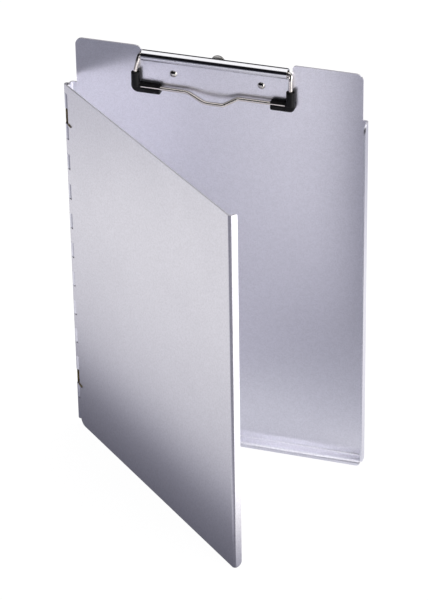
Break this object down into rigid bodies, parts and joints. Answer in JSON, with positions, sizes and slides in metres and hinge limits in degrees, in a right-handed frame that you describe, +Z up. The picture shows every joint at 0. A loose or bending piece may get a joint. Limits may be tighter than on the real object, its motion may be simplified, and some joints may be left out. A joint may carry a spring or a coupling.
{
  "type": "covered clipboard",
  "caption": "Upright sheet-metal clipboard with a hinged sprung cover, side flanges, bottom ledge and a wire clip with corner grips at the top.",
  "frame": {"origin": "middle of the foot under the ledge, in the plane of the hinge pin, at the height the holder stands on", "axes": "+Z up the board, +X to the right seen from the front, +Y into the back of the board"},
  "size_m": [0.2287, 0.1643, 0.3312],
  "materials": {
    "board_sheet": "satin anodised sheet, fine straight grain",
    "cover_sheet": "satin anodised sheet, fine straight grain",
    "pin_steel": "drawn wire, dull",
    "spring_brass": "brassy plated spring wire, slightly dulled",
    "clip_chrome": "bright plated",
    "rivet_chrome": "bright plated dome",
    "bail_wire": "bright plated wire",
    "grip_rubber": "moulded, low sheen",
    "slide_nickel": "plated plate"
  },
  "bodies": {
    "board": {"board_panel": "board_sheet", "hinge_pin": "pin_steel", "upper_hinge_spring": "spring_brass", "lower_hinge_spring": "spring_brass", "clip_bracket": "clip_chrome", "left_rivet": "rivet_chrome", "right_rivet": "rivet_chrome", "left_bail_spring": "pin_steel", "right_bail_spring": "pin_steel"},
    "cover": {"cover_panel": "cover_sheet"},
    "bail": {"wire_bail": "bail_wire", "left_grip": "grip_rubber", "right_grip": "grip_rubber"},
    "slide": {"hanging_slide": "slide_nickel"}
  },
  "joints": [
    {"name": "cover_hinge", "type": "hinge", "parent": "board", "child": "cover", "pos_m": [-0.11286, 0, 0], "axis": [0, 0, -1], "range_deg": [-41.07, 168.93], "stiffness_Nm_per_rad": 0.006, "springref_deg": -131.78, "deforming": ["upper_hinge_spring", "lower_hinge_spring"]},
    {"name": "bail_hinge", "type": "hinge", "parent": "board", "child": "bail", "pos_m": [0, 0.00639, 0.3252], "axis": [-1, 0, 0], "range_deg": [0, 100], "stiffness_Nm_per_rad": 0.02, "springref_deg": -57.3, "deforming": ["left_bail_spring", "right_bail_spring"]},
    {"name": "hanging_slide_lift", "type": "slide", "parent": "board", "child": "slide", "axis": [0, 0, 1], "range_m": [0, 0.012]}
  ]
}
